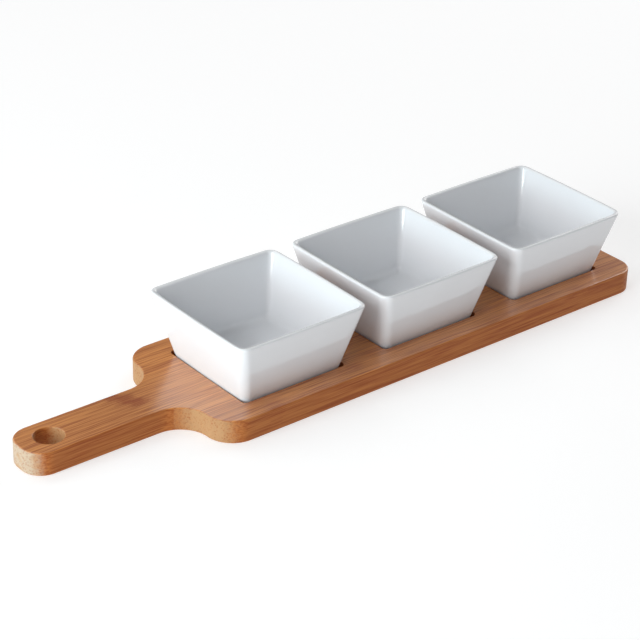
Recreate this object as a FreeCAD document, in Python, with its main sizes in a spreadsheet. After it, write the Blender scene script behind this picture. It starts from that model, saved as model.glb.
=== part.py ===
"""Chip and dip server: a bamboo paddle board, glued up from strips on edge, with three porcelain bowls.

Each bowl stands in a shallow square recess and lifts straight out. Lengths are millimetres, angles degrees.
The frame: +X runs from the handle to the far end, +Y to the back, +Z up. The origin is the centre of the
board's underside, midway between the handle's tip and the far end.
"""

import FreeCAD
import Part
import math
import os

import Sketcher

# The driving dimensions. Everything else is worked out from these.
SIZES = {
    # board: the margins are from the bowls' rims to its edges
    "near_margin": 14.15,
    "far_margin": 11.15,
    "side_margin": 5.05,
    "strip_count": 15,
    "board_thickness": 14.4,
    "handle_length": 100.0,
    "handle_width": 30.4,
    "handle_tip_flat": 4.4,
    "neck_radius": 18.6,
    "shoulder_radius": 17.5,
    "far_corner_radius": 13.0,
    "outline_round": 0.9,
    # hanging hole in the handle
    "hole_diameter": 17.5,
    "hole_setback": 19.3,
    "hole_round": 0.5,
    # bowls
    "bowl_count": 3,
    "rim_gap": 10.5,
    "bowl_height": 44.0,
    "rim_width": 91.9,
    "rim_corner_radius": 6.0,
    "rim_round": 1.2,
    "base_width": 69.6,
    "base_corner_radius": 3.6,
    "base_round": 1.2,
    "side_bow_radius": 1200.0,
    "bowl_wall": 3.0,
    "bowl_floor": 5.0,
    "floor_corner_radius": 6.0,
    "floor_round": 4.5,
    "foot_ring_width": 4.0,
    "foot_hollow": 1.0,
    "foot_round": 0.4,
    # recesses
    "recess_depth": 4.0,
    "recess_clearance": 0.5,
    "recess_corner_radius": 2.6,
    "recess_round": 0.3,
}

# Sizes that follow from the driving ones, as spreadsheet formulas.
DERIVED = {
    "bowl_pitch": "=rim_width + rim_gap",
    "body_length": "=near_margin + rim_width + (bowl_count - 1) * bowl_pitch + far_margin",
    "board_width": "=rim_width + 2 * side_margin",
    "strip_width": "=board_width / strip_count",
    "handle_tip_radius": "=(handle_width - handle_tip_flat) / 2",
    "overall_length": "=handle_length + body_length",
    "tip_x": "=-overall_length / 2",
    "body_x": "=tip_x + handle_length",
    "far_x": "=overall_length / 2",
    "hole_x": "=tip_x + hole_setback",
    "first_bowl_x": "=body_x + near_margin + rim_width / 2",
    "bowl_z": "=board_thickness - recess_depth",
    # a bowl's width where it passes the board's top, plus the clearance on both sides
    "recess_width": "=base_width + (rim_width - base_width) * recess_depth / bowl_height"
    " + 2 * recess_clearance",
    "inner_rim_width": "=rim_width - 2 * bowl_wall",
    "inner_rim_corner_radius": "=rim_corner_radius - bowl_wall",
    "inner_floor_width": "=base_width + (rim_width - base_width) * bowl_floor / bowl_height"
    " - 2 * bowl_wall",
    "foot_hollow_width": "=base_width - 2 * base_round - 2 * foot_ring_width",
}

START, END, CENTRE = 1, 2, 3  # the points of a sketched element
ORIGIN = (-1, 1)  # the sketch's own origin
Z_AXIS = FreeCAD.Vector(0, 0, 1)


def make_sheet(doc):
    """The spreadsheet that holds every size, one alias to a row."""
    sheet = doc.addObject("Spreadsheet::Sheet", "sizes")
    rows = [(name, str(value)) for name, value in SIZES.items()] + list(DERIVED.items())
    for row, (name, value) in enumerate(rows, start=1):
        sheet.set(f"A{row}", name)
        sheet.set(f"B{row}", value)
        sheet.setAlias(f"B{row}", name)
    doc.recompute()
    return sheet


def plane(body, role):
    """One of a body's own origin planes."""
    return next(f for f in body.Origin.OriginFeatures if f.Role == role)


def new_sketch(body, name, height="0"):
    """A sketch on the body's XY plane, raised to a height given as an expression."""
    sketch = body.newObject("Sketcher::SketchObject", name)
    sketch.AttachmentSupport = (plane(body, "XY_Plane"), [""])
    sketch.MapMode = "FlatFace"
    sketch.setExpression("AttachmentOffset.Base.z", height)
    return sketch


def bind(sketch, constraint, name, expression):
    """Adds a named dimension to a sketch and ties it to the sheet."""
    index = sketch.addConstraint(constraint)
    sketch.renameConstraint(index, name)
    sketch.setExpression(f"Constraints.{name}", expression)


def arc(centre, radius, start, end):
    """An arc in the sketch plane from one angle round to another, anticlockwise."""
    circle = Part.Circle(FreeCAD.Vector(centre[0], centre[1], 0), Z_AXIS, radius)
    return Part.ArcOfCircle(circle, math.radians(start), math.radians(end))


def line(start, end):
    """A straight edge in the sketch plane."""
    return Part.LineSegment(FreeCAD.Vector(*start, 0), FreeCAD.Vector(*end, 0))


def chain(sketch, elements):
    """Adds elements that run tail to head, each tangent to the next, and closes the ring.

    An element is (geometry, first point, last point), because an arc that turns clockwise along the ring is
    drawn from its last point to its first.
    """
    ids = [sketch.addGeometry(geometry, False) for geometry, _, _ in elements]
    for here, (_, _, tail) in enumerate(elements):
        after = (here + 1) % len(ids)
        head = elements[after][1]
        sketch.addConstraint(Sketcher.Constraint("Tangent", ids[here], tail, ids[after], head))
    return ids


def bowed_square(sketch, sheet, width, corner):
    """A rounded square on the origin with sides that bulge slightly, from the aliases of its two sizes."""
    half = getattr(sheet, width) / 2
    radius = getattr(sheet, corner)
    side = sheet.side_bow_radius
    back = side - half  # how far a side's centre lies beyond the origin
    at = (math.sqrt(2 * (side - radius) ** 2 - back**2) - back) / 2  # a corner's centre is (at, at)
    reach = math.degrees(math.atan2(at, at + back))  # half the angle that a side covers
    elements = []
    for quarter in range(4):
        turn = 90 * quarter
        cos, sin = round(math.cos(math.radians(turn))), round(math.sin(math.radians(turn)))
        elements.append((arc((-back * cos, -back * sin), side, turn - reach, turn + reach), START, END))
        middle = (at * cos - at * sin, at * sin + at * cos)
        elements.append((arc(middle, radius, turn + reach, turn + 90 - reach), START, END))
    ids = chain(sketch, elements)
    for quarter in range(4):
        cos, sin = [(1, 0), (0, 1), (-1, 0), (0, -1)][quarter]
        long_arc, corner_arc = ids[2 * quarter], ids[2 * quarter + 1]
        far, near = ("DistanceX", "DistanceY") if cos else ("DistanceY", "DistanceX")
        name = f"side_{quarter}"
        sign = "-1" if cos + sin > 0 else "1"
        offset = Sketcher.Constraint(far, *ORIGIN, long_arc, CENTRE, -back * (cos + sin))
        bind(sketch, offset, f"{name}_centre", f"{sign} * (sizes.side_bow_radius - sizes.{width} / 2)")
        sketch.addConstraint(Sketcher.Constraint(near, *ORIGIN, long_arc, CENTRE, 0.0))
        bind(sketch, Sketcher.Constraint("Radius", long_arc, side), f"{name}_bow", "sizes.side_bow_radius")
        bind(sketch, Sketcher.Constraint("Radius", corner_arc, radius), f"{name}_corner", f"sizes.{corner}")


def plain_square(sketch, sheet, width, corner, centre_x):
    """A rounded square with straight sides, centred on (centre_x, 0); all three are aliases."""
    half = getattr(sheet, width) / 2
    radius = getattr(sheet, corner)
    x = getattr(sheet, centre_x)
    inner = half - radius
    elements = [
        (line((x + half, -inner), (x + half, inner)), START, END),
        (arc((x + inner, inner), radius, 0, 90), START, END),
        (line((x + inner, half), (x - inner, half)), START, END),
        (arc((x - inner, inner), radius, 90, 180), START, END),
        (line((x - half, inner), (x - half, -inner)), START, END),
        (arc((x - inner, -inner), radius, 180, 270), START, END),
        (line((x - inner, -half), (x + inner, -half)), START, END),
        (arc((x + inner, -inner), radius, 270, 360), START, END),
    ]
    ids = chain(sketch, elements)
    right, back, left, front = ids[0], ids[2], ids[4], ids[6]
    for edge, way in ((right, "Vertical"), (back, "Horizontal"), (left, "Vertical"), (front, "Horizontal")):
        sketch.addConstraint(Sketcher.Constraint(way, edge))
    for number, corner_arc in enumerate((ids[1], ids[3], ids[5], ids[7])):
        size = Sketcher.Constraint("Radius", corner_arc, radius)
        bind(sketch, size, f"corner_{number}", f"sizes.{corner}")
    places = (
        ("right_x", "DistanceX", right, x + half, f"sizes.{centre_x} + sizes.{width} / 2"),
        ("left_x", "DistanceX", left, x - half, f"sizes.{centre_x} - sizes.{width} / 2"),
        ("back_y", "DistanceY", back, half, f"sizes.{width} / 2"),
        ("front_y", "DistanceY", front, -half, f"-1 * sizes.{width} / 2"),
    )
    for name, way, edge, value, expression in places:
        bind(sketch, Sketcher.Constraint(way, *ORIGIN, edge, START, value), name, expression)


def paddle_outline(sketch, sheet):
    """The board's outline: handle, S-curved shoulders and rounded far corners, anticlockwise from the tip."""
    wide, narrow = sheet.board_width / 2, sheet.handle_width / 2
    tip, neck = sheet.handle_tip_radius, sheet.neck_radius
    shoulder, far = sheet.shoulder_radius, sheet.far_corner_radius
    tip_x, body_x, far_x = sheet.tip_x, sheet.body_x, sheet.far_x
    shoulder_x = body_x + shoulder
    # the neck arc and the shoulder arc meet directly, or have a straight between them on a wide board
    rise = (wide - shoulder) - (narrow + neck)
    straight = rise > 0
    neck_x = body_x - neck if straight else shoulder_x - math.sqrt((shoulder + neck) ** 2 - rise**2)
    turn = 0.0 if straight else math.degrees(math.atan2(-rise, shoulder_x - neck_x))
    front_half = [
        (arc((tip_x + tip, tip - narrow), tip, 180, 270), START, END),
        (line((tip_x + tip, -narrow), (neck_x, -narrow)), START, END),
        (arc((neck_x, -narrow - neck), neck, turn, 90), END, START),
        (arc((shoulder_x, shoulder - wide), shoulder, 180 + turn, 270), START, END),
        (line((shoulder_x, -wide), (far_x - far, -wide)), START, END),
        (arc((far_x - far, far - wide), far, 270, 360), START, END),
        (line((far_x, far - wide), (far_x, wide - far)), START, END),
    ]
    back_half = [
        (arc((far_x - far, wide - far), far, 0, 90), START, END),
        (line((far_x - far, wide), (shoulder_x, wide)), START, END),
        (arc((shoulder_x, wide - shoulder), shoulder, 90, 180 - turn), START, END),
        (arc((neck_x, narrow + neck), neck, 270, 360 - turn), END, START),
        (line((neck_x, narrow), (tip_x + tip, narrow)), START, END),
        (arc((tip_x + tip, narrow - tip), tip, 90, 180), START, END),
        (line((tip_x, narrow - tip), (tip_x, tip - narrow)), START, END),
    ]
    if straight:
        front_half.insert(3, (line((body_x, -narrow - neck), (body_x, shoulder - wide)), START, END))
        back_half.insert(3, (line((body_x, wide - shoulder), (body_x, narrow + neck)), START, END))
    ids = chain(sketch, front_half + back_half)
    extra = 1 if straight else 0
    names = ["tip_front", "handle_front", "neck_front"] + ["rise_front"] * extra
    names += ["shoulder_front", "edge_front", "far_front", "far_end", "far_back", "edge_back"]
    names += ["shoulder_back"] + ["rise_back"] * extra
    names += ["neck_back", "handle_back", "tip_back", "tip_end"]
    edge = dict(zip(names, ids))
    for name in ("handle_front", "edge_front", "edge_back", "handle_back"):
        sketch.addConstraint(Sketcher.Constraint("Horizontal", edge[name]))
    for name in ["far_end", "tip_end"] + ["rise_front", "rise_back"] * extra:
        sketch.addConstraint(Sketcher.Constraint("Vertical", edge[name]))
    for side in ("front", "back"):
        sign = "-1 *" if side == "front" else "1 *"
        y = -1 if side == "front" else 1
        for part, radius, alias in (
            ("tip", tip, "handle_tip_radius"),
            ("neck", neck, "neck_radius"),
            ("shoulder", shoulder, "shoulder_radius"),
            ("far", far, "far_corner_radius"),
        ):
            name = f"{part}_{side}"
            bind(sketch, Sketcher.Constraint("Radius", edge[name], radius), f"{name}_radius", f"sizes.{alias}")
        for part, half, alias in (("handle", narrow, "handle_width"), ("edge", wide, "board_width")):
            name = f"{part}_{side}"
            place = Sketcher.Constraint("DistanceY", *ORIGIN, edge[name], START, y * half)
            bind(sketch, place, f"{name}_y", f"{sign} sizes.{alias} / 2")
        place = Sketcher.Constraint("DistanceX", *ORIGIN, edge[f"shoulder_{side}"], CENTRE, shoulder_x)
        bind(sketch, place, f"shoulder_{side}_x", "sizes.body_x + sizes.shoulder_radius")
    for name, value in (("tip_end", tip_x), ("far_end", far_x)):
        place = Sketcher.Constraint("DistanceX", *ORIGIN, edge[name], START, value)
        bind(sketch, place, f"{name}_x", f"sizes.{name[:3]}_x")


def edges_where(feature, test):
    """The names of a feature's edges that pass a test on the edge."""
    return [f"Edge{n}" for n, edge in enumerate(feature.Shape.Edges, start=1) if test(edge)]


def level(edge, height):
    """True for an edge that lies flat at a height."""
    box = edge.BoundBox
    return abs(box.ZMin - height) < 0.01 and abs(box.ZMax - height) < 0.01


def within(edge, x, half):
    """True for an edge inside the upright square of a half width round (x, 0)."""
    box = edge.BoundBox
    slack = 0.01
    return (
        box.XMin > x - half - slack
        and box.XMax < x + half + slack
        and box.YMin > -half - slack
        and box.YMax < half + slack
    )


def round_edges(body, name, feature, edges, radius):
    """A fillet on the named edges of the body's last feature, with its radius given as an expression."""
    fillet = body.newObject("PartDesign::Fillet", name)
    fillet.Base = (feature, edges)
    fillet.setExpression("Radius", radius)
    body.Document.recompute()
    return fillet


def make_board_blank(doc, sheet):
    """The whole board as it leaves the router: outline, eased edges, hanging hole and recesses."""
    body = doc.addObject("PartDesign::Body", "board_blank")
    outline = new_sketch(body, "paddle_outline")
    paddle_outline(outline, sheet)
    pad = body.newObject("PartDesign::Pad", "board_pad")
    pad.Profile = outline
    pad.setExpression("Length", "sizes.board_thickness")
    doc.recompute()
    top = sheet.board_thickness
    rims = edges_where(pad, lambda e: level(e, 0) or level(e, top))
    eased = round_edges(body, "eased_outline", pad, rims, "sizes.outline_round")

    circle = new_sketch(body, "hole_circle", "sizes.board_thickness")
    radius = sheet.hole_diameter / 2
    ring = circle.addGeometry(Part.Circle(FreeCAD.Vector(sheet.hole_x, 0, 0), Z_AXIS, radius), False)
    bind(circle, Sketcher.Constraint("Radius", ring, radius), "hole_radius", "sizes.hole_diameter / 2")
    across = Sketcher.Constraint("DistanceX", *ORIGIN, ring, CENTRE, sheet.hole_x)
    bind(circle, across, "hole_x", "sizes.hole_x")
    circle.addConstraint(Sketcher.Constraint("DistanceY", *ORIGIN, ring, CENTRE, 0.0))
    hole = body.newObject("PartDesign::Pocket", "hanging_hole")
    hole.Profile = circle
    hole.Type = "ThroughAll"
    doc.recompute()
    must_shrink(eased, hole)

    square = new_sketch(body, "recess_square", "sizes.board_thickness")
    plain_square(square, sheet, "recess_width", "recess_corner_radius", "first_bowl_x")
    recess = body.newObject("PartDesign::Pocket", "first_recess")
    recess.Profile = square
    recess.setExpression("Length", "sizes.recess_depth")
    doc.recompute()
    must_shrink(hole, recess)
    row = body.newObject("PartDesign::LinearPattern", "recess_row")
    row.Originals = [recess]
    row.Direction = (square, ["H_Axis"])
    row.setExpression("Length", "sizes.bowl_pitch * (sizes.bowl_count - 1)")
    row.setExpression("Occurrences", "sizes.bowl_count")
    body.Tip = row
    doc.recompute()
    must_shrink(recess, row)

    hole_half = radius
    hole_edges = edges_where(
        row, lambda e: (level(e, 0) or level(e, top)) and within(e, sheet.hole_x, hole_half)
    )
    eased_hole = round_edges(body, "eased_hole", row, hole_edges, "sizes.hole_round")
    half = sheet.recess_width / 2
    mouths = edges_where(
        eased_hole,
        lambda e: level(e, top) and any(within(e, x, half) for x in bowl_places(sheet)),
    )
    round_edges(body, "eased_recesses", eased_hole, mouths, "sizes.recess_round")
    return body


def must_shrink(before, after):
    """Stops the build if a cut took nothing away."""
    if after.Shape.Volume > before.Shape.Volume - 1.0:
        raise RuntimeError(f"{after.Name} cut nothing")


def bowl_places(sheet):
    """The X of each bowl's centre."""
    return [sheet.first_bowl_x + n * sheet.bowl_pitch for n in range(int(sheet.bowl_count))]


def make_strip(doc, name, blank, row, first_x, last_x):
    """One bamboo strip: the part of the blank between two seams, from one X to another (expressions)."""
    stock = doc.addObject("Part::Box", f"{name}_stock")
    stock.setExpression("Length", f"({last_x}) - ({first_x})")
    stock.setExpression("Width", "sizes.strip_width")
    stock.setExpression("Height", "sizes.board_thickness")
    stock.setExpression("Placement.Base.x", first_x)
    stock.setExpression("Placement.Base.y", f"sizes.strip_width * {row} - sizes.board_width / 2")
    strip = doc.addObject("Part::Common", name)
    strip.Base = blank
    strip.Tool = stock
    strip.Label = name
    return strip


def make_strips(doc, sheet, blank):
    """The strips that the board is glued up from, numbered from the front edge to the back."""
    count = int(sheet.strip_count)
    tip, hole, end = "sizes.tip_x", "sizes.hole_x", "sizes.far_x"
    strips = []
    for row in range(count):
        name = f"board_strip_{row + 1:02d}"
        front = row * sheet.strip_width - sheet.board_width / 2
        # the hanging hole is wider than the middle strip, so it leaves that strip in two lengths
        cut_in_two = abs(front + sheet.strip_width / 2) + sheet.strip_width / 2 < sheet.hole_diameter / 2
        if cut_in_two:
            strips.append(make_strip(doc, f"{name}_tip", blank, row, tip, hole))
            strips.append(make_strip(doc, name, blank, row, hole, end))
        else:
            strips.append(make_strip(doc, name, blank, row, tip, end))
    return strips


def make_bowl(doc, sheet, name, number):
    """One flared square bowl with a soft rim, a rounded floor and a foot ring, standing in its recess."""
    body = doc.addObject("PartDesign::Body", name)
    body.Label = name
    height = sheet.bowl_height

    base = new_sketch(body, f"{name}_base")
    bowed_square(base, sheet, "base_width", "base_corner_radius")
    rim = new_sketch(body, f"{name}_rim", "sizes.bowl_height")
    bowed_square(rim, sheet, "rim_width", "rim_corner_radius")
    outside = body.newObject("PartDesign::AdditiveLoft", f"{name}_outside")
    outside.Profile = base
    outside.Sections = [rim]
    outside.Ruled = True
    doc.recompute()

    floor = new_sketch(body, f"{name}_floor", "sizes.bowl_floor")
    bowed_square(floor, sheet, "inner_floor_width", "floor_corner_radius")
    mouth = new_sketch(body, f"{name}_mouth", "sizes.bowl_height")
    bowed_square(mouth, sheet, "inner_rim_width", "inner_rim_corner_radius")
    inside = body.newObject("PartDesign::SubtractiveLoft", f"{name}_inside")
    inside.Profile = floor
    inside.Sections = [mouth]
    inside.Ruled = True
    doc.recompute()
    must_shrink(outside, inside)

    hollow_square = new_sketch(body, f"{name}_hollow_square")
    bowed_square(hollow_square, sheet, "foot_hollow_width", "base_corner_radius")
    hollow = body.newObject("PartDesign::Pocket", f"{name}_foot_hollow")
    hollow.Profile = hollow_square
    hollow.Reversed = True
    hollow.setExpression("Length", "sizes.foot_hollow")
    doc.recompute()
    must_shrink(inside, hollow)

    floor_edges = edges_where(hollow, lambda e: level(e, sheet.bowl_floor))
    soft_floor = round_edges(body, f"{name}_soft_floor", hollow, floor_edges, "sizes.floor_round")
    rim_edges = edges_where(soft_floor, lambda e: level(e, height))
    soft_rim = round_edges(body, f"{name}_soft_rim", soft_floor, rim_edges, "sizes.rim_round")
    inner = sheet.foot_hollow_width / 2
    outer_foot = edges_where(soft_rim, lambda e: level(e, 0) and not within(e, 0, inner))
    soft_base = round_edges(body, f"{name}_soft_base", soft_rim, outer_foot, "sizes.base_round")
    inner_foot = edges_where(soft_base, lambda e: level(e, 0) and within(e, 0, inner))
    round_edges(body, f"{name}_soft_foot", soft_base, inner_foot, "sizes.foot_round")

    body.setExpression("Placement.Base.x", f"sizes.first_bowl_x + {number} * sizes.bowl_pitch")
    body.setExpression("Placement.Base.z", "sizes.bowl_z")
    return body


def check(doc, parts):
    """Stops the build if any object failed or a sub-part has no sound shape."""
    for item in doc.Objects:
        if {"Invalid", "Error"} & set(item.State):
            raise RuntimeError(f"{item.Name} failed: {item.State}")
    for part in parts:
        shape = part.Shape
        if shape.isNull() or not shape.isValid() or not shape.Solids:
            raise RuntimeError(f"{part.Label} has no sound solid")


def main():
    doc = FreeCAD.newDocument("chip_and_dip_server")
    sheet = make_sheet(doc)
    blank = make_board_blank(doc, sheet)
    parts = make_strips(doc, sheet, blank)
    names = ("bowl_handle_end", "bowl_middle", "bowl_far_end")
    for number in range(int(sheet.bowl_count)):
        name = names[number] if number < len(names) else f"bowl_{number + 1}"
        parts.append(make_bowl(doc, sheet, name, number))
    doc.recompute()
    check(doc, parts)
    strips = [p for p in parts if p.Label.startswith("board_strip")]
    glued = sum(s.Shape.Volume for s in strips)
    if abs(glued - blank.Shape.Volume) > 1.0:
        raise RuntimeError(f"the strips hold {glued} mm3 and the board {blank.Shape.Volume} mm3")
    os.makedirs("parts", exist_ok=True)
    for part in parts:
        part.Shape.exportStep(os.path.join("parts", f"{part.Label}.step"))
    print(f"{len(parts)} parts, board {blank.Shape.BoundBox}")


main()
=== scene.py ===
"""Dresses the chip and dip server: bamboo on the board's strips, three porcelain bowls, and a pale studio."""

import math
from contextlib import contextmanager

import bmesh
import bpy
from bpy.props import FloatProperty, FloatVectorProperty, IntProperty, PointerProperty
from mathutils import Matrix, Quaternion, Vector


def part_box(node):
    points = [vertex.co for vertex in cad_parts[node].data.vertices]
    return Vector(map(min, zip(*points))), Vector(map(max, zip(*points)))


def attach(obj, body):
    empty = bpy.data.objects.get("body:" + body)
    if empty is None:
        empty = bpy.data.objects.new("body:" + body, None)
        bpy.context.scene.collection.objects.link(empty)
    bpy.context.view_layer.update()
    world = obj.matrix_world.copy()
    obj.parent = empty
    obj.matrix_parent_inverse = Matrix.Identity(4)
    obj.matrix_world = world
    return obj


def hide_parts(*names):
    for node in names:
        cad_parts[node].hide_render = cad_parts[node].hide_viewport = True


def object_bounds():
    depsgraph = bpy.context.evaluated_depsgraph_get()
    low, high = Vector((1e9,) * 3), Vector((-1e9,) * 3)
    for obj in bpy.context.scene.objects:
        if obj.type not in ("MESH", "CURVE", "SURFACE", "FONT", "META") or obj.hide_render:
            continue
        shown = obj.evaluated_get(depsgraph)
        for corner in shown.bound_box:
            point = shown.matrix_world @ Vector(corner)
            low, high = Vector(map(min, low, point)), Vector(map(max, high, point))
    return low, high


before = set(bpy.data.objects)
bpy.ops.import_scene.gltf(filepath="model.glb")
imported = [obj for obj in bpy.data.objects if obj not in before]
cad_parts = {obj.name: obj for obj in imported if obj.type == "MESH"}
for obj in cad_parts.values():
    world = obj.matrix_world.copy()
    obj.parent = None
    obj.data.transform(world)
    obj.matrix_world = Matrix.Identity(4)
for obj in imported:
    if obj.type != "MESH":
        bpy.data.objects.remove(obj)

bl_info = {
    "name": "Chip and Dip Server",
    "version": (1, 0, 0),
    "blender": (4, 5, 0),
    "location": "View3D > Sidebar > Dip Server",
    "description": "Models the porcelain bowls and finishes the bamboo board of a chip and dip server",
    "category": "Object",
}

MM = 0.001
FRAME_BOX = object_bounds()
STRIPS = sorted(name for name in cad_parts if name.startswith("board_strip"))
BOWLS = ("bowl_handle_end", "bowl_middle", "bowl_far_end")
BOWL_LOW, BOWL_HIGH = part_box(BOWLS[0])


# ---------------------------------------------------------------- sizes and colours that a user can change


def length(name, description, default):
    """A length property in metres, from its default in millimetres."""
    return FloatProperty(
        name=name, description=description, default=default * MM, precision=5, unit="LENGTH",
        subtype="DISTANCE",
    )


def turn(name, description, degrees):
    """An angle property in radians, from its default in degrees."""
    return FloatProperty(name=name, description=description, default=math.radians(degrees), subtype="ANGLE")


def colour(name, description, default):
    """A colour property, linear red, green and blue."""
    return FloatVectorProperty(
        name=name, description=description, default=default, subtype="COLOR", size=3, min=0.0, max=1.0
    )


class BowlSettings(bpy.types.PropertyGroup):
    """Sizes and colours of a porcelain bowl"""

    base_width: length("Base width", "Across the outside of the foot, at the middle of a side", 69.6)
    wall: length("Wall", "Thickness of the wall at the rim", 3.0)
    floor: length("Floor", "Height of the inside floor above the foot", 5.0)
    side_bow: length("Side bow", "How far the middle of a side bulges at the foot", 0.5)
    corner_radius: length("Corner radius", "Radius of the upright corners at the foot", 4.6)
    lip_round: length("Lip rounding", "Rounding of both edges of the rim", 1.42)
    base_round: length("Base rounding", "Rounding of the outer edge of the foot", 1.2)
    floor_round: length("Floor rounding", "Radius where the inside walls meet the floor", 5.5)
    foot_ring: length("Foot ring", "Width of the ring that the bowl stands on", 4.0)
    foot_hollow: length("Foot hollow", "Depth of the hollow inside the foot ring", 1.0)
    ripple: length("Glaze ripple", "Height of the slow waves in the glazed surface", 0.12)
    ripple_size: length("Ripple size", "Distance between the waves in the glazed surface", 22.0)
    columns: IntProperty(
        name="Columns", description="Cuts across each side, before smoothing", default=9, min=3
    )
    glaze: colour("Glaze", "The white of the glazed porcelain", (0.785, 0.802, 0.825))
    bisque: colour("Bisque", "The bare porcelain of the foot ring", (0.74, 0.70, 0.63))


class BoardSettings(bpy.types.PropertyGroup):
    """Colours of the bamboo, and where the culm's joints fall"""

    pale: colour("Pale fibre", "The lightest ground between the fibres", (0.665, 0.268, 0.070))
    deep: colour("Deep fibre", "The darkest streaks along the grain", (0.285, 0.061, 0.013))
    end_grain: colour("End grain", "The sawn ends of the fibres", (0.425, 0.250, 0.122))
    # the end grain is drawn paler towards the handle's tip
    pale_tip: colour("Rubbed tip", "The end of the handle, rubbed pale", (0.48, 0.405, 0.305))
    node_mark: colour("Node mark", "The reddish band where a culm's joint was", (0.30, 0.058, 0.010))
    tone_spread: FloatProperty(
        name="Tone spread", description="How much the strips differ in tone", default=0.16, min=0.0, max=1.0
    )
    node_spacing: length("Node spacing", "Length of bamboo between two joints of the culm", 236.0)
    first_node: length("First node", "Where a joint crosses the ninth strip, along the board", -138.0)


class StageSettings(bpy.types.PropertyGroup):
    """The camera, the floor and the light from all around"""

    azimuth: turn("Azimuth", "Camera's heading from +Y towards +X", 39.41)
    elevation: turn("Elevation", "Camera's angle above the table", 28.73)
    roll: turn("Roll", "Camera's turn about its own line of sight", 1.472)
    distance: length("Distance", "From the camera to the point that it looks at", 1220.2)
    lens: FloatProperty(name="Lens", description="Focal length in millimetres", default=116.77, min=1.0)
    floor_colour: colour("Floor", "The pale floor", (0.55, 0.55, 0.55))
    floor_glow: FloatProperty(
        name="Floor glow", description="Light that the floor gives off", default=0.52, min=0.0
    )
    sky: FloatProperty(name="Sky", description="Even light from all around", default=0.135, min=0.0)


# ---------------------------------------------------------------- modelling helpers


def select_only(obj):
    """Makes one object the selection and the active object."""
    bpy.ops.object.select_all(action="DESELECT")
    obj.select_set(True)
    bpy.context.view_layer.objects.active = obj


@contextmanager
def editing(obj):
    """Edit mode on one object."""
    select_only(obj)
    bpy.ops.object.mode_set(mode="EDIT")
    yield
    bpy.ops.object.mode_set(mode="OBJECT")


def pick(obj, kind, test):
    """Selects the VERTs, EDGEs or FACEs of the mesh being edited that pass a test."""
    bpy.ops.mesh.select_mode(type=kind)
    bpy.ops.mesh.select_all(action="DESELECT")
    mesh = bmesh.from_edit_mesh(obj.data)
    items = {"VERT": mesh.verts, "EDGE": mesh.edges, "FACE": mesh.faces}[kind]
    mesh.normal_update()
    for item in items:
        if test(item):
            item.select_set(True)
    mesh.select_flush_mode()
    bmesh.update_edit_mesh(obj.data)


def near(a, b, slack=0.02 * MM):
    """True for two lengths that are the same."""
    return abs(a - b) < slack


def edge_at(edge, height):
    """True for an edge that lies level at a height."""
    return all(near(v.co.z, height) for v in edge.verts)


def creased(edge, degrees=25):
    """True for an edge where two faces meet at an angle."""
    return len(edge.link_faces) == 2 and edge.calc_face_angle() > math.radians(degrees)


def extrude(dz):
    """Extrudes the selected faces straight up or down."""
    bpy.ops.mesh.extrude_region_move(TRANSFORM_OT_translate={"value": (0, 0, dz)})


def widen(factor):
    """Scales the selection about the bowl's upright axis."""
    bpy.ops.transform.resize(value=(factor, factor, 1), center_override=(0, 0, 0))


def apply_modifier(obj, kind, name, **settings):
    """Adds a modifier, sets it up and applies it."""
    select_only(obj)
    modifier = obj.modifiers.new(name, kind)
    for key, value in settings.items():
        setattr(modifier, key, value)
    bpy.ops.object.modifier_apply(modifier=name)


# ---------------------------------------------------------------- the bowl

# how a bowl's edges are rounded
LIP_PULL = 0.27  # rounding the lip draws the rim in by this share of the rounding's size, on each side
FLOOR_STEPS = 6  # steps in the turn from wall to floor
FLOOR_TURN_IN = 0.92  # that turn runs inwards this far for each unit that it runs down
FOOT_EASE = 0.45  # rounding inside the foot ring, as a share of the hollow's depth
BARE_SLOPE = -0.55  # a face of the foot points down at least this much to be left unglazed


def bow_sides(bowl, half, bow, columns):
    """Pushes each column of a side outwards, so that the side bulges along a shallow curve."""
    step = 2 * half / (columns + 1)
    for axis, along in ((0, 1), (1, 0)):
        for sign in (-1, 1):
            for column in range(1, columns + 1):
                place = column * step - half
                pick(bowl, "VERT", lambda v: near(v.co[axis], sign * half) and near(v.co[along], place))
                push = [0.0, 0.0, 0.0]
                push[axis] = sign * bow * (1 - (place / half) ** 2)
                bpy.ops.transform.translate(value=push)


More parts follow.
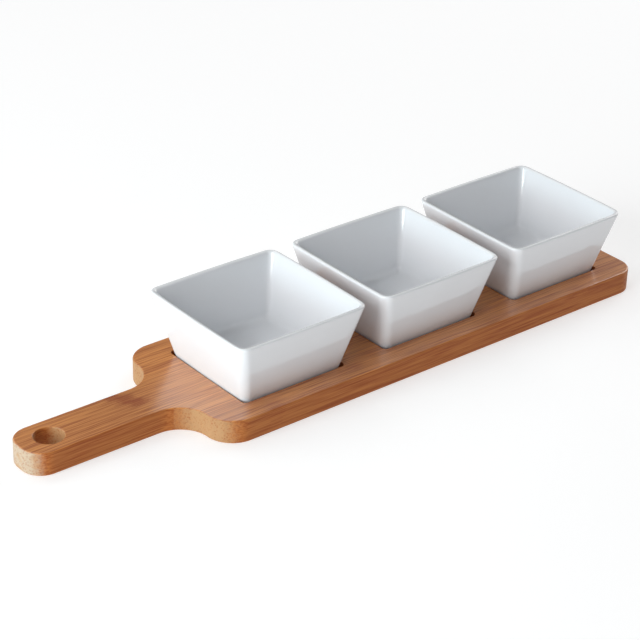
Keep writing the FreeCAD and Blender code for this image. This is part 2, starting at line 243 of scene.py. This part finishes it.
def model_bowl(size, rim_width, height):
    """One bowl, its foot's centre on the world origin: flared walls, a rounded lip and floor, a foot ring."""
    half = size.base_width / 2 - size.side_bow
    flare = rim_width / size.base_width
    bpy.ops.object.select_all(action="DESELECT")
    bpy.ops.mesh.primitive_cube_add(size=1, location=(0, 0, height / 2), scale=(2 * half, 2 * half, height))
    bowl = bpy.context.object
    bpy.ops.object.transform_apply(location=True, rotation=True, scale=True)
    with editing(bowl):
        pick(bowl, "EDGE", lambda e: edge_at(e, 0) or edge_at(e, height))
        bpy.ops.mesh.subdivide(number_cuts=size.columns)
        bow_sides(bowl, half, size.side_bow, size.columns)
        pick(bowl, "EDGE", lambda e: creased(e) and not near(e.verts[0].co.z, e.verts[1].co.z))
        bpy.ops.mesh.bevel(offset=size.corner_radius, segments=6, profile=0.5)
        pick(bowl, "VERT", lambda v: near(v.co.z, height))
        widen(flare)

        pick(bowl, "FACE", lambda f: f.normal.z > 0.9)
        bpy.ops.mesh.inset(thickness=size.wall)
        hollow_out(size, rim_width, height)
        pick(bowl, "FACE", lambda f: f.normal.z < -0.9 and near(f.calc_center_median().z, 0))
        extrude(0)
        widen(1 - 2 * (size.foot_ring + size.base_round) / size.base_width)
        extrude(size.foot_hollow)

        pick(bowl, "EDGE", lambda e: abs(e.verts[0].co.z - e.verts[1].co.z) > height / 2)
        bpy.ops.mesh.subdivide(number_cuts=5)
        pick(bowl, "EDGE", lambda e: edge_at(e, height) and creased(e))
        bpy.ops.mesh.bevel(offset=size.lip_round, segments=4, profile=0.5)
        inner_foot = size.base_width / 2 - size.foot_ring
        pick(bowl, "EDGE", lambda e: edge_at(e, 0) and creased(e) and reach(e) > inner_foot)
        bpy.ops.mesh.bevel(offset=size.base_round, segments=3, profile=0.5)
        pick(bowl, "EDGE", lambda e: edge_at(e, 0) and creased(e) and reach(e) < inner_foot)
        bpy.ops.mesh.bevel(offset=size.foot_hollow * FOOT_EASE, segments=2, profile=0.5)
        pick(bowl, "EDGE", lambda e: edge_at(e, size.foot_hollow) and creased(e))
        bpy.ops.mesh.bevel(offset=size.foot_hollow * FOOT_EASE, segments=2, profile=0.5)
    apply_modifier(bowl, "SUBSURF", "soft_porcelain", levels=2, render_levels=2)
    return bowl


def reach(edge):
    """How far an edge stands from the bowl's upright axis, the way that a square is measured."""
    return max(max(abs(v.co.x), abs(v.co.y)) for v in edge.verts)


def hollow_out(size, rim_width, height):
    """Sinks the selected top faces to the floor: down the tapering wall, then round a quarter turn."""
    flare = (rim_width - size.base_width) / 2 / height
    turn_height = size.floor + size.floor_round
    half = rim_width / 2 - size.wall
    start = half - flare * (height - turn_height)
    extrude(turn_height - height)
    widen(start / half)
    here, depth = start, 0.0
    for step in range(1, FLOOR_STEPS + 1):
        angle = math.radians(90) * step / FLOOR_STEPS
        there = start - size.floor_round * (1 - math.cos(angle)) * FLOOR_TURN_IN
        drop = size.floor_round * math.sin(angle)
        extrude(depth - drop)
        widen(there / here)
        here, depth = there, drop


def copy_bowl(master, node):
    """The bowl for a node: a copy with its own mesh, or for the last node the modelled bowl itself."""
    bowl = master
    if node != BOWLS[-1]:
        select_only(master)
        bpy.ops.object.duplicate(linked=False)
        bowl = bpy.context.object
    bowl.name = node.replace("bowl", "porcelain_bowl")
    bowl.data.name = bowl.name
    return bowl


def stand_bowl(bowl, node, ripple, size):
    """Moves a bowl to its node's place, ripples its glaze as no other bowl's is, and smooths it."""
    low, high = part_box(node)
    select_only(bowl)
    bpy.ops.transform.translate(value=((low.x + high.x) / 2, (low.y + high.y) / 2, low.z))
    apply_modifier(
        bowl, "DISPLACE", "ripple", texture=ripple, texture_coords="GLOBAL", strength=size.ripple,
        mid_level=0.5,
    )
    bpy.ops.object.transform_apply(location=True, rotation=True, scale=True)
    bpy.ops.object.shade_smooth()


# ---------------------------------------------------------------- shader maths


class Signal:
    """A value on its way through a material: arithmetic on it adds Math nodes."""

    def __init__(self, graph, socket):
        self.graph = graph
        self.socket = socket

    def math(self, operation, *others):
        """A Math node on this and other values."""
        return self.graph.add("ShaderNodeMath", {"operation": operation}, [self, *others])

    def __add__(self, other):
        return self.math("ADD", other)

    def __radd__(self, other):
        return self.graph.add("ShaderNodeMath", {"operation": "ADD"}, [other, self])

    def __sub__(self, other):
        return self.math("SUBTRACT", other)

    def __rsub__(self, other):
        return self.graph.add("ShaderNodeMath", {"operation": "SUBTRACT"}, [other, self])

    def __mul__(self, other):
        return self.math("MULTIPLY", other)

    def __rmul__(self, other):
        return self.graph.add("ShaderNodeMath", {"operation": "MULTIPLY"}, [other, self])

    def __truediv__(self, other):
        return self.math("DIVIDE", other)

    def __abs__(self):
        return self.math("ABSOLUTE")

    def floor(self):
        return self.math("FLOOR")

    def fract(self):
        return self.math("FRACT")

    def rise(self, low, high, to_low=0.0, to_high=1.0):
        """A smooth step from one value to another as this goes from low to high."""
        settings = {"interpolation_type": "SMOOTHSTEP"}
        return self.graph.add("ShaderNodeMapRange", settings, [self, low, high, to_low, to_high])


class Graph:
    """The nodes of one material."""

    def __init__(self, name, **constants):
        self.material = bpy.data.materials.new(name)
        self.material.use_nodes = True
        self.nodes = self.material.node_tree.nodes
        self.links = self.material.node_tree.links
        self.nodes.clear()
        output = self.nodes.new("ShaderNodeOutputMaterial")
        self.surface = self.nodes.new("ShaderNodeBsdfPrincipled")
        self.links.new(self.surface.outputs["BSDF"], output.inputs["Surface"])
        for name, value in constants.items():
            self.surface.inputs[name.replace("_", " ")].default_value = value

    def add(self, kind, settings=None, inputs=(), output=0):
        """Adds a node: its settings, then its inputs, by order or by name, as numbers, colours or Signals."""
        node = self.nodes.new(kind)
        for key, value in (settings or {}).items():
            setattr(node, key, value)
        pairs = inputs.items() if isinstance(inputs, dict) else enumerate(inputs)
        for key, value in pairs:
            if isinstance(value, Signal):
                self.links.new(value.socket, node.inputs[key])
            else:
                node.inputs[key].default_value = value
        return Signal(self, node.outputs[output])

    def set(self, **inputs):
        """Feeds the surface's own sockets."""
        for key, value in inputs.items():
            self.links.new(value.socket, self.surface.inputs[key.replace("_", " ")])

    def place(self):
        """Object coordinates in millimetres."""
        return self.scaled(self.add("ShaderNodeTexCoord", output="Object"), 1 / MM)

    def scaled(self, vector, factor):
        """A vector times a number."""
        inputs = [vector, (factor, factor, factor)]
        return self.add("ShaderNodeVectorMath", {"operation": "MULTIPLY"}, inputs)

    def split(self, vector):
        """The three parts of a vector."""
        x = self.add("ShaderNodeSeparateXYZ", inputs=[vector])
        node = x.socket.node
        return x, Signal(self, node.outputs[1]), Signal(self, node.outputs[2])

    def stretched(self, parts, rates):
        """A vector whose three parts are each multiplied by a rate of its own."""
        return self.add("ShaderNodeCombineXYZ", inputs=[part * rate for part, rate in zip(parts, rates)])

    def noise(self, vector, detail=2.0, roughness=0.5):
        """Cloudy noise from 0 to 1, about one cloud to a unit."""
        inputs = {"Vector": vector, "Scale": 1.0, "Detail": detail, "Roughness": roughness}
        return self.add("ShaderNodeTexNoise", inputs=inputs)

    def cells(self, vector):
        """The distance to the nearest of scattered points, about one point to a unit."""
        return self.add("ShaderNodeTexVoronoi", {"feature": "F1"}, {"Vector": vector, "Scale": 1.0})

    def mix(self, factor, a, b):
        """Blends two colours, each a Signal or red, green and blue."""
        a, b = (shade if isinstance(shade, Signal) else opaque(shade) for shade in (a, b))
        return self.add("ShaderNodeMix", {"data_type": "RGBA"}, {0: factor, 6: a, 7: b}, output=2)

    def bump(self, height, distance, strength=1.0):
        """Feeds the surface's normal from a height."""
        inputs = {"Strength": strength, "Distance": distance, "Height": height}
        self.set(Normal=self.add("ShaderNodeBump", inputs=inputs))


def opaque(rgb):
    """A colour with its alpha."""
    return (*rgb, 1.0)


def darker(rgb, share):
    """A colour with each part multiplied by a share."""
    return [part * share for part in rgb]


# ---------------------------------------------------------------- materials

# how many features each of the bamboo's patterns has per millimetre: along a strip, across it and up
BROAD = (0.011, 0.25, 0.16)
STREAK = (0.024, 1.05, 0.9)
HAIR = (0.03, 1.9, 1.8)
BUNDLE = (0.024, 1.3, 1.3)
DRIFT = (0.02, 7.3, 0.03)  # its middle number is per strip
WOBBLE = (0.25, 0.55, 0.3)
DOTS = (0.1, 0.8, 0.62)
BLOTCH = (0.05, 0.12, 0.16)

# how much each pattern darkens the wood, and the tone in the middle
BROAD_DEPTH = 0.24
STREAK_DEPTH = 0.44
HAIR_DEPTH = 1.6
BUNDLE_DEPTH = 0.30
MIDDLE_TONE = 0.47

# three neighbouring strips, counted from 0, whose joints nearly line up on the handle
LINED_UP = (7, 8, 9)
JOINT_STEP = 0.02  # from one of them to the next, as a share of the joints' spacing
JOINT_SCATTER = 0.0637  # moves the other strips' joints to places of their own
JOINT_REACH = (1.0, 9.0)  # from a joint's middle: where its mark begins to fade, and where it ends
JOINT_SWAY = 14.0  # how much a joint's line wavers, in millimetres
RUN_SHIFT = 900  # millimetres of grain between the most different strips

PALE_TIP_REACH = (-3.0, 25.0)  # from the handle's tip: where the paler end grain begins to fade, and where it ends
RIM_FADE = 5.0  # how far inside the outermost rims the recesses' shading is full
RECESS_SIDE = (38.0, 42.0)  # from the board's middle line: outside the recesses, inside the board's edge

LIP_BAND = 1.6  # height of the warmer band of glaze at the rim
LIP_WARMTH = (1.03, 1.01, 0.98)


def bamboo_material(settings):
    """Caramelised bamboo, strip by strip: fibres along X, a tone for each strip, and the culm's joints."""
    graph = Graph("caramelised_bamboo", Roughness=0.45, IOR=1.45, Coat_Roughness=0.24, Coat_IOR=2.0)
    graph.surface.inputs["Specular IOR Level"].default_value = 0.2
    x, y, z = graph.split(graph.place())
    strip_low, strip_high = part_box(STRIPS[1])
    strip = (y - FRAME_BOX[0].y / MM) / ((strip_high.y - strip_low.y) / MM)
    row = strip.floor()
    across = strip.fract()
    own = graph.add("ShaderNodeTexWhiteNoise", {"noise_dimensions": "1D"}, {"W": row + 0.5}, output="Color")
    tone, shift, skin = graph.split(own)
    # the fibres crowd together towards the culm's skin, which lies on either side of a strip
    skin_side = skin.math("GREATER_THAN", 0.5)
    depth = across * skin_side + (1 - across) * (1 - skin_side)

    # which way the wood was cut: sawn ends face along X, edges along Y, and the rubbed top up
    along_x, along_y, along_z = graph.split(graph.add("ShaderNodeTexCoord", output="Normal"))
    wobble = graph.noise(graph.stretched((x, y, z), WOBBLE), detail=3.0, roughness=0.6)
    end = (abs(along_x) + (wobble - 0.5) * 0.35).rise(0.28, 0.90)
    edge = abs(along_y).rise(0.5, 0.9)
    top = along_z.rise(0.7, 0.98)
    joint = culm_joint(settings, x, row, wobble)

    # fibres wander a little along the strip, and more round a joint
    wander = graph.noise(graph.stretched((x, row, z), DRIFT), detail=1.0) - 0.5
    fibre = y + wander * (1.6 + joint * 2.5)
    run = x + shift * RUN_SHIFT
    broad = graph.noise(graph.stretched((run, fibre, z), BROAD), detail=2.0)
    streak = graph.noise(graph.stretched((run, fibre, z), STREAK), detail=1.5, roughness=0.6)
    hair = graph.noise(graph.stretched((run, fibre, z), HAIR), detail=2.0, roughness=0.7)
    bundle = graph.cells(graph.stretched((run, fibre, z), BUNDLE)).rise(0.10, 0.50, 1.0, 0.0)
    bundle = bundle * (0.4 + 0.6 * depth)

    grain = (broad.rise(0.30, 0.72) - 0.5) * BROAD_DEPTH + (streak.rise(0.36, 0.64) - 0.5) * STREAK_DEPTH
    grain = grain + (hair - 0.5) * HAIR_DEPTH + (bundle - 0.35) * BUNDLE_DEPTH
    strip_tone = (tone - 0.5) * (1 - edge * 0.7) * settings.tone_spread
    dark = grain * (1 - edge * 0.10) + strip_tone + MIDDLE_TONE
    wood = graph.mix(dark.rise(-0.10, 1.10), settings.pale, settings.deep)
    mark = joint * streak.rise(0.30, 0.60, 0.55, 1.0) * (row * 0.06 + 0.35).fract() * (1 - edge * 0.6)
    wood = graph.mix(mark, wood, settings.node_mark)
    wood = graph.mix(edge * 0.44, wood, settings.deep)
    # a hair-thin glue line at each seam
    seam = abs(across - 0.5).rise(0.48, 0.5) * (1 - end) * (1 - edge)
    wood = graph.mix(seam * 0.22, wood, settings.deep)

    # painted shade in the recesses, where the walls stand in shadow: their sawn ends are drawn less pale, and
    # the walls darker
    first_rim, last_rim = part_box(BOWLS[0])[0].x / MM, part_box(BOWLS[-1])[1].x / MM
    routed = x.rise(first_rim, first_rim + RIM_FADE) * x.rise(last_rim - RIM_FADE, last_rim, 1.0, 0.0)
    wood = graph.mix(end * (0.88 - 0.5 * routed), wood, sawn_end(graph, settings, (x, y, z), fibre, hair))
    # painted shade on the recesses' walls
    wall = routed * abs(y).rise(*RECESS_SIDE, 1.0, 0.0) * (1 - abs(along_z).rise(0.3, 0.9))
    wood = graph.mix(wall * 0.65, wood, settings.deep)

    roughness = 0.40 + 0.10 * streak + 0.08 * bundle + 0.12 * end
    graph.set(Base_Color=wood, Roughness=roughness, Coat_Weight=top * 0.9)
    graph.bump(bundle * -0.5 - streak * 0.6 - seam * 0.5 - hair * 0.5, distance=0.05 * MM, strength=0.6)
    return graph.material


def culm_joint(settings, x, row, wobble):
    """1 at a joint of the culm and 0 away from it, at a place along X that depends on the strip."""
    first, middle, last = LINED_UP
    shift = (row - middle) * JOINT_STEP + (row - first) * (row - middle) * (row - last) * JOINT_SCATTER
    spacing = settings.node_spacing / MM
    away = ((x - settings.first_node / MM) / spacing + shift + 0.5).fract() - 0.5
    return abs(away * spacing + (wobble - 0.5) * JOINT_SWAY).rise(*JOINT_REACH, 1.0, 0.0)


def sawn_end(graph, settings, place, fibre, hair):
    """The colour of sawn ends: the fibres show as dots, and the end grain is drawn paler towards the handle's
    tip.
    """
    x, y, z = place
    tip = FRAME_BOX[0].x / MM
    dots = graph.cells(graph.stretched((x, fibre, z), DOTS))
    blotch = graph.noise(graph.stretched((x, y, z), BLOTCH), detail=2.0)
    # the end grain is drawn paler towards the handle's tip
    pale_tip_share = x.rise(tip + PALE_TIP_REACH[0], tip + PALE_TIP_REACH[1], 1.0, 0.0) * blotch.rise(0.35, 0.55, 0.35, 1.0)
    sawn = graph.mix(pale_tip_share, settings.end_grain, settings.pale_tip)
    speckle = dots.rise(0.15, 0.60, 1.0, 0.0) * 0.42 - 0.07 + (hair - 0.5) * 0.9
    speckle = speckle + blotch.rise(0.4, 0.65) * 0.16
    return graph.mix(speckle.rise(0.0, 1.0), sawn, settings.deep)


def glaze_material(settings):
    """Glossy white porcelain: a faint cloudiness and ripple, a little warmer along the lip."""
    graph = Graph("white_glaze", Roughness=0.05, IOR=1.6)
    point = graph.place()
    rim = BOWL_HIGH.z / MM
    lip = graph.split(point)[2].rise(rim - LIP_BAND, rim)
    cloud = graph.noise(graph.scaled(point, 0.03))
    speck = graph.noise(graph.scaled(point, 1.1), detail=1.0)
    warm = [part * share for part, share in zip(settings.glaze, LIP_WARMTH)]
    white = graph.mix(lip * 0.5, settings.glaze, warm)
    white = graph.mix(cloud.rise(0.3, 0.7, 0.0, 0.35), white, darker(settings.glaze, 0.975))
    graph.set(Base_Color=white, Roughness=0.01 + 0.025 * cloud + 0.01 * speck)
    graph.bump(graph.noise(graph.scaled(point, 0.07)), distance=0.12 * MM)
    return graph.material


def bisque_material(settings):
    """Bare porcelain where the bowl stood in the kiln: matt, warm and slightly gritty."""
    graph = Graph("bare_bisque", Roughness=0.85, IOR=1.5)
    grit = graph.noise(graph.scaled(graph.place(), 2.2), detail=3.0, roughness=0.7)
    shade = graph.mix(grit, settings.bisque, darker(settings.bisque, 0.86))
    graph.set(Base_Color=shade, Roughness=0.78 + 0.14 * grit)
    graph.bump(grit, distance=0.05 * MM)
    return graph.material


def floor_material(settings):
    """The studio's matt floor."""
    graph = Graph(
        "studio_floor", Base_Color=opaque(settings.floor_colour), Roughness=0.9, Emission_Color=(1, 1, 1, 1),
        Emission_Strength=settings.floor_glow,
    )
    graph.surface.inputs["Specular IOR Level"].default_value = 0.1
    return graph.material


def dress(obj, *materials):
    """Gives an object its materials, in the order of its slots."""
    obj.data.materials.clear()
    for material in materials:
        obj.data.materials.append(material)


# ---------------------------------------------------------------- the studio

# the softboxes: name, place, width in metres, power in watts and colour
WHITE = (1.0, 1.0, 1.0)
SOFTBOXES = (
    ("key", (-1.38, -0.16, 0.60), 0.96, 18.5, WHITE),
    ("low", (-1.6, 0.0, 0.12), 0.6, 11.0, (0.62, 0.92, 1.0)),
    ("fill", (2.15, 0.38, 1.13), 1.75, 29.0, WHITE),
    ("back", (-0.3, 1.2, 1.6), 1.6, 11.0, WHITE),
    ("front", (0.1, -1.4, 1.9), 1.4, 4.0, WHITE),
)
SKY_COLOUR = (0.98, 0.985, 1.0, 1.0)
FLOOR_SIZE = 12.0
FLOOR_GAP = 0.1 * MM  # between the board's underside and the floor
AIM = Vector((-3.9, 0.85, -3.3)) * MM  # the point that the camera looks at, from the middle of the object


def soft_light(name, place, size, power, tint, target):
    """A square softbox that faces the object."""
    bpy.ops.object.light_add(type="AREA", location=place)
    light = bpy.context.object
    light.name = name
    light.data.size = size
    light.data.energy = power
    light.data.color = tint
    light.rotation_euler = (target - Vector(place)).to_track_quat("-Z", "Y").to_euler()


# ---------------------------------------------------------------- operators


class DIPSERVER_OT_board(bpy.types.Operator):
    """Finish the board's strips as caramelised bamboo"""

    bl_idname = "dipserver.board"
    bl_label = "Bamboo Board"

    def execute(self, context):
        bamboo = bamboo_material(context.scene.dip_board)
        for name in STRIPS:
            dress(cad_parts[name], bamboo)
        return {"FINISHED"}


class DIPSERVER_OT_bowls(bpy.types.Operator):
    """Model the porcelain bowl and stand one in each recess"""

    bl_idname = "dipserver.bowls"
    bl_label = "Porcelain Bowls"

    def execute(self, context):
        size = context.scene.dip_bowl
        # the lip's rounding draws the rim in, and the ripple raises its top, so both are allowed for
        rim_width = BOWL_HIGH.x - BOWL_LOW.x + 2 * size.lip_round * LIP_PULL
        height = BOWL_HIGH.z - BOWL_LOW.z - size.ripple / 2
        master = model_bowl(size, rim_width, height)
        dress(master, glaze_material(size), bisque_material(size))
        with editing(master):
            ring_top = size.foot_hollow / 4
            pick(master, "FACE", lambda f: f.normal.z < BARE_SLOPE and f.calc_center_median().z < ring_top)
            master.active_material_index = 1
            bpy.ops.object.material_slot_assign()
        ripple = bpy.data.textures.new("glaze_ripple", "CLOUDS")
        ripple.noise_scale = size.ripple_size
        bowls = [copy_bowl(master, node) for node in BOWLS]
        for node, bowl in zip(BOWLS, bowls):
            stand_bowl(bowl, node, ripple, size)
            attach(bowl, node)
            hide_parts(node)
        return {"FINISHED"}


class DIPSERVER_OT_stage(bpy.types.Operator):
    """Set up the floor, the soft lights and the camera"""

    bl_idname = "dipserver.stage"
    bl_label = "Studio"

    def execute(self, context):
        settings = context.scene.dip_stage
        low, high = FRAME_BOX
        centre = (low + high) / 2
        bpy.ops.object.select_all(action="DESELECT")
        bpy.ops.mesh.primitive_plane_add(size=FLOOR_SIZE, location=(0, 0, low.z - FLOOR_GAP))
        floor = bpy.context.object
        floor.name = "floor"
        dress(floor, floor_material(settings))
        for box in SOFTBOXES:
            soft_light(*box, target=centre)
        world = bpy.data.worlds.new("studio")
        world.use_nodes = True
        background = world.node_tree.nodes["Background"]
        background.inputs["Color"].default_value = SKY_COLOUR
        background.inputs["Strength"].default_value = settings.sky
        context.scene.world = world
        context.scene.view_settings.view_transform = "Standard"

        a, e = settings.azimuth, settings.elevation
        sight = Vector((math.sin(a) * math.cos(e), math.cos(a) * math.cos(e), -math.sin(e)))
        bpy.ops.object.camera_add(location=centre + AIM - sight * settings.distance)
        camera = bpy.context.object
        camera.name = "camera"
        camera.rotation_mode = "QUATERNION"
        camera.rotation_quaternion = Quaternion(sight, -settings.roll) @ sight.to_track_quat("-Z", "Y")
        camera.data.lens = settings.lens
        context.scene.camera = camera
        return {"FINISHED"}


class DIPSERVER_PT_panel(bpy.types.Panel):
    """The chip and dip server's pieces"""

    bl_label = "Chip and Dip Server"
    bl_idname = "DIPSERVER_PT_panel"
    bl_space_type = "VIEW_3D"
    bl_region_type = "UI"
    bl_category = "Dip Server"

    def draw(self, context):
        groups = (
            (DIPSERVER_OT_board, context.scene.dip_board),
            (DIPSERVER_OT_bowls, context.scene.dip_bowl),
            (DIPSERVER_OT_stage, context.scene.dip_stage),
        )
        for operator, settings in groups:
            box = self.layout.box()
            box.operator(operator.bl_idname)
            for name in settings.__annotations__:
                box.prop(settings, name)


SETTINGS = {"dip_board": BoardSettings, "dip_bowl": BowlSettings, "dip_stage": StageSettings}
OPERATORS = (DIPSERVER_OT_board, DIPSERVER_OT_bowls, DIPSERVER_OT_stage)
CLASSES = (*SETTINGS.values(), *OPERATORS, DIPSERVER_PT_panel)


def register():
    for cls in CLASSES:
        bpy.utils.register_class(cls)
    for name, group in SETTINGS.items():
        setattr(bpy.types.Scene, name, PointerProperty(type=group))


def unregister():
    for name in SETTINGS:
        delattr(bpy.types.Scene, name)
    for cls in reversed(CLASSES):
        bpy.utils.unregister_class(cls)


def main():
    register()
    bpy.ops.dipserver.board()
    bpy.ops.dipserver.bowls()
    bpy.ops.dipserver.stage()


if __name__ == "__main__":
    main()
